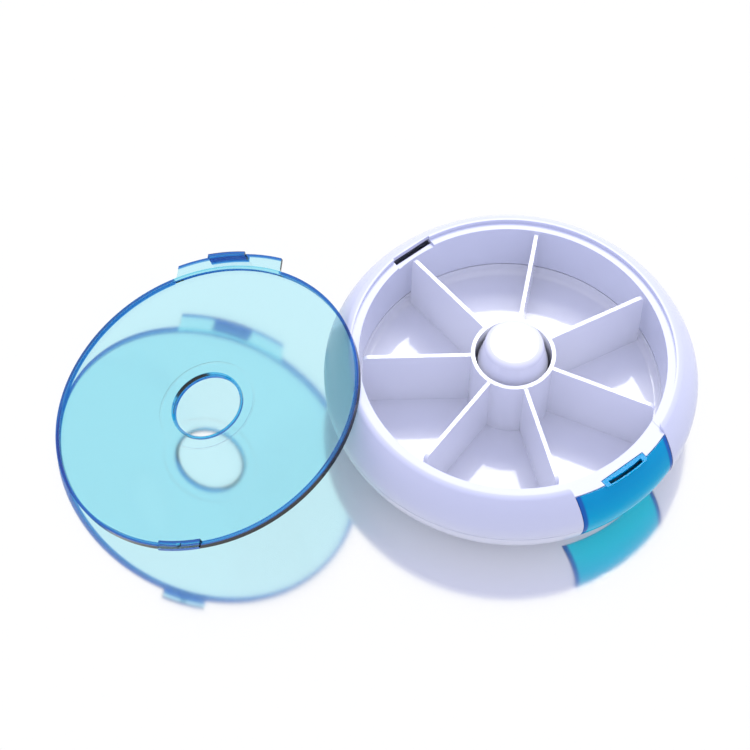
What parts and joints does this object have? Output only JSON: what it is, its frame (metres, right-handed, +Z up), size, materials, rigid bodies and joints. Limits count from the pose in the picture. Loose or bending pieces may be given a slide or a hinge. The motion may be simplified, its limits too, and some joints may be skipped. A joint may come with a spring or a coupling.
{
  "type": "rotary pill organiser",
  "caption": "Round pill organiser: turning wheel of pill compartments in a ring-shaped case, centre knob, push-button latch and a lift-off lid with a knob hole.",
  "frame": {"origin": "on the table under the wheel's axis, at the underside of the case's centre cover", "axes": "+Z up along the wheel's axis; +X to the right and -Y towards the viewer; the latch button faces front right and the lid lies at the left"},
  "size_m": [0.1621, 0.1077, 0.03],
  "materials": {
    "white_plastic": "glossy, with a faint cool tint",
    "clear_blue_plastic": "clear tinted plastic, polished",
    "steel": "bright zinc",
    "soft_rubber": "matte",
    "natural_plastic": "natural, satin"
  },
  "bodies": {
    "case": {"upper_casing": "white_plastic", "base_shell": "white_plastic", "centre_cover": "white_plastic", "glide_ring": "natural_plastic", "index_spring": "steel", "latch_spring_left": "steel", "latch_spring_right": "steel", "casing_screw_1": "steel", "casing_screw_2": "steel", "casing_screw_3": "steel", "foot_1": "soft_rubber", "foot_2": "soft_rubber", "foot_3": "soft_rubber", "foot_4": "soft_rubber"},
    "wheel": {"compartment_wheel": "white_plastic", "knob_spring": "steel"},
    "knob": {"turn_knob": "white_plastic", "spindle_screw": "steel", "spindle_washer": "steel"},
    "plunger": {"index_plunger": "natural_plastic"},
    "button": {"latch_button": "clear_blue_plastic"},
    "lid": {"lid": "clear_blue_plastic"}
  },
  "joints": [
    {"name": "wheel_spin", "type": "hinge", "parent": "case", "child": "wheel", "pos_m": [0, 0, 0.0068], "axis": [0, 0, 1], "continuous": true},
    {"name": "knob_press", "type": "slide", "parent": "wheel", "child": "knob", "axis": [0, 0, -1], "range_m": [0, 0.002], "stiffness_N_per_m": 400, "springref_m": -0.003, "deforming": ["knob_spring"]},
    {"name": "index_click", "type": "slide", "parent": "case", "child": "plunger", "axis": [0, 0, -1], "range_m": [0, 0.0005], "stiffness_N_per_m": 200, "springref_m": -0.0005, "deforming": ["index_spring"]},
    {"name": "latch_press", "type": "hinge", "parent": "case", "child": "button", "pos_m": [0.02862, -0.02837, 0.0208], "axis": [0.704, 0.7102, 0], "range_deg": [0, 4.5], "stiffness_Nm_per_rad": 0.05, "springref_deg": -5.73, "deforming": ["latch_spring_left", "latch_spring_right"]},
    {"name": "lid_lift", "type": "slide", "parent": "case", "child": "lid", "axis": [0, 0, 1], "range_m": [0, 0.06]}
  ]
}
